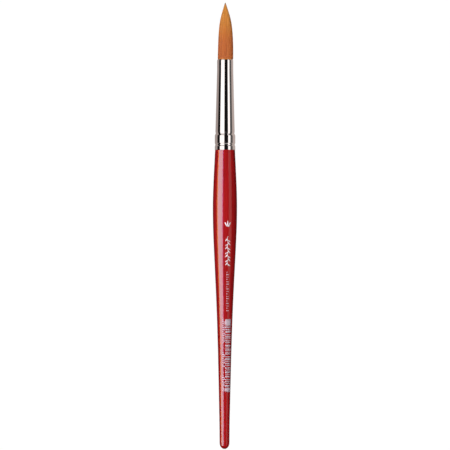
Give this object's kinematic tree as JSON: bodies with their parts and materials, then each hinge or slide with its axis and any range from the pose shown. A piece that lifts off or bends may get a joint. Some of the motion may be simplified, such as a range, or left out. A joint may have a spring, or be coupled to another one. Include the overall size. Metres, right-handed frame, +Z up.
{
  "type": "round watercolour brush",
  "caption": "Round pointed watercolour brush: tapered red lacquered wood handle, crimped nickel-plated ferrule and golden synthetic tuft that bends and springs back.",
  "frame": {"origin": "on the table under the brush's mid-length: the brush lies along +Y and its belly touches z = 0", "axes": "+Y along the brush's axis towards the tuft's point, +Z up, +X to the right seen from above; the marks on the handle face +Z and a little towards +X"},
  "size_m": [0.0122, 0.2234, 0.0121],
  "materials": {
    "red_lacquered_wood": "gloss",
    "nickel_plate": "polished",
    "tenon_glue": "matte",
    "root_resin": "gloss",
    "thread": "matte",
    "golden_filament": "satin"
  },
  "bodies": {
    "handle_body": {"handle": "red_lacquered_wood", "ferrule": "nickel_plate", "tenon_adhesive": "tenon_glue", "root_adhesive": "root_resin", "binding_thread": "thread", "filament_roots": "golden_filament"},
    "tuft": {"belly_filaments": "golden_filament", "outer_filaments": "golden_filament"}
  },
  "joints": [
    {"name": "tuft_bend", "type": "hinge", "parent": "handle_body", "child": "tuft", "pos_m": [0, 0.0857, 0.00606], "axis": [0, 0, 1], "range_deg": [-40, 40], "stiffness_Nm_per_rad": 0.01}
  ]
}
